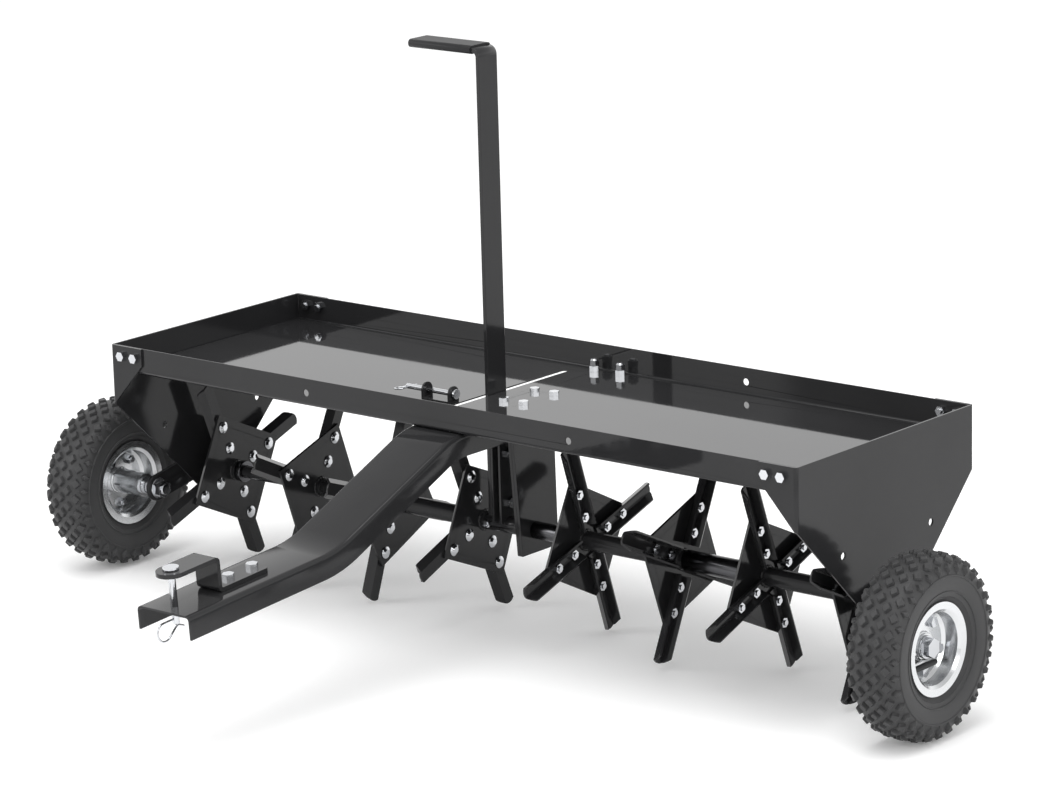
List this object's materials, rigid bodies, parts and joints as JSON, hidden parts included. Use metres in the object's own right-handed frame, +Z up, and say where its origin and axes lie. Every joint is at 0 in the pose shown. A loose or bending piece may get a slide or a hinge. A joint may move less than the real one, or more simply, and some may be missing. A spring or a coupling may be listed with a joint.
{
  "type": "lawn aerator",
  "caption": "Tow-behind plug aerator: black weight tray over rotating spools of hollow tines on a lever-lifted shaft, with transport wheels and a pinned drawbar hitch.",
  "frame": {"origin": "on the ground under the middle of the machine's length and width, with the wheels touching the ground", "axes": "+X to the machine's right, +Y to its rear, +Z up; the tongue points along -Y"},
  "size_m": [1.553, 0.9684, 0.8403],
  "materials": {
    "black_paint": "gloss",
    "zinc": "satin",
    "bright_steel": "satin",
    "silver_paint": "satin",
    "tyre": "matte",
    "black_rubber": "matte",
    "black_plastic": "matte"
  },
  "bodies": {
    "frame": {"tray": "black_paint", "end_plate_left": "black_paint", "end_plate_right": "black_paint", "hanger_left": "black_paint", "hanger_right": "black_paint", "tongue": "black_paint", "hitch_bracket": "black_paint", "hitch_bolts": "zinc", "tray_bolts": "zinc", "end_bolts": "zinc", "lock_bracket": "black_paint", "shaft_bushes": "black_plastic"},
    "lift": {"lift_shaft": "black_paint", "shaft_sleeves": "black_paint", "shaft_spacers": "bright_steel", "lever_bracket": "black_paint", "lever": "black_paint", "lever_grip": "black_rubber", "lever_bolts": "zinc", "wheel_arm_left": "black_paint", "wheel_arm_right": "black_paint", "axle_bolts": "zinc"},
    "wheel_left": {"tyre_left": "tyre", "rim_left": "silver_paint", "hub_left": "silver_paint", "rim_bolts_left": "zinc", "valve_left": "black_rubber"},
    "wheel_right": {"tyre_right": "tyre", "rim_right": "silver_paint", "hub_right": "silver_paint", "rim_bolts_right": "zinc", "valve_right": "black_rubber"},
    "spool_1": {"spool_plate_1": "black_paint", "tines_1": "black_paint", "tine_bolts_1": "zinc"},
    "spool_2": {"spool_plate_2": "black_paint", "tines_2": "black_paint", "tine_bolts_2": "zinc"},
    "spool_3": {"spool_plate_3": "black_paint", "tines_3": "black_paint", "tine_bolts_3": "zinc"},
    "spool_4": {"spool_plate_4": "black_paint", "tines_4": "black_paint", "tine_bolts_4": "zinc"},
    "spool_5": {"spool_plate_5": "black_paint", "tines_5": "black_paint", "tine_bolts_5": "zinc"},
    "spool_6": {"spool_plate_6": "black_paint", "tines_6": "black_paint", "tine_bolts_6": "zinc"},
    "spool_7": {"spool_plate_7": "black_paint", "tines_7": "black_paint", "tine_bolts_7": "zinc"},
    "spool_8": {"spool_plate_8": "black_paint", "tines_8": "black_paint", "tine_bolts_8": "zinc"},
    "hitch_pin": {"hitch_pin": "zinc"},
    "hitch_clip": {"hitch_clip": "zinc"},
    "lock_pin": {"lock_pin": "zinc"},
    "lock_clip": {"lock_clip": "zinc"}
  },
  "joints": [
    {"name": "lift_turn", "type": "hinge", "parent": "frame", "child": "lift", "pos_m": [0, 0.28104, 0.14532], "axis": [1, 0, 0], "range_deg": [-33, 33]},
    {"name": "wheel_left_spin", "type": "hinge", "parent": "lift", "child": "wheel_left", "pos_m": [-0.739, 0.18681, 0.127], "axis": [1, 0, 0], "continuous": true},
    {"name": "wheel_right_spin", "type": "hinge", "parent": "lift", "child": "wheel_right", "pos_m": [0.739, 0.18681, 0.127], "axis": [1, 0, 0], "continuous": true},
    {"name": "spool_1_spin", "type": "hinge", "parent": "lift", "child": "spool_1", "pos_m": [0, 0.28104, 0.14532], "axis": [1, 0, 0], "continuous": true},
    {"name": "spool_2_spin", "type": "hinge", "parent": "lift", "child": "spool_2", "pos_m": [0, 0.28104, 0.14532], "axis": [1, 0, 0], "continuous": true},
    {"name": "spool_3_spin", "type": "hinge", "parent": "lift", "child": "spool_3", "pos_m": [0, 0.28104, 0.14532], "axis": [1, 0, 0], "continuous": true},
    {"name": "spool_4_spin", "type": "hinge", "parent": "lift", "child": "spool_4", "pos_m": [0, 0.28104, 0.14532], "axis": [1, 0, 0], "continuous": true},
    {"name": "spool_5_spin", "type": "hinge", "parent": "lift", "child": "spool_5", "pos_m": [0, 0.28104, 0.14532], "axis": [1, 0, 0], "continuous": true},
    {"name": "spool_6_spin", "type": "hinge", "parent": "lift", "child": "spool_6", "pos_m": [0, 0.28104, 0.14532], "axis": [1, 0, 0], "continuous": true},
    {"name": "spool_7_spin", "type": "hinge", "parent": "lift", "child": "spool_7", "pos_m": [0, 0.28104, 0.14532], "axis": [1, 0, 0], "continuous": true},
    {"name": "spool_8_spin", "type": "hinge", "parent": "lift", "child": "spool_8", "pos_m": [0, 0.28104, 0.14532], "axis": [1, 0, 0], "continuous": true},
    {"name": "hitch_pin_lift", "type": "slide", "parent": "frame", "child": "hitch_pin", "axis": [0, -0.0727, 0.9974], "range_m": [0, 0.012]},
    {"name": "hitch_clip_pull", "type": "slide", "parent": "hitch_pin", "child": "hitch_clip", "axis": [0, -0.9974, -0.0727], "range_m": [0, 0.026]},
    {"name": "lock_pin_slide", "type": "slide", "parent": "frame", "child": "lock_pin", "axis": [1, 0, 0], "range_m": [0, 0.026]},
    {"name": "lock_clip_pull", "type": "slide", "parent": "lock_pin", "child": "lock_clip", "axis": [0, -1, 0], "range_m": [0, 0.02]}
  ]
}
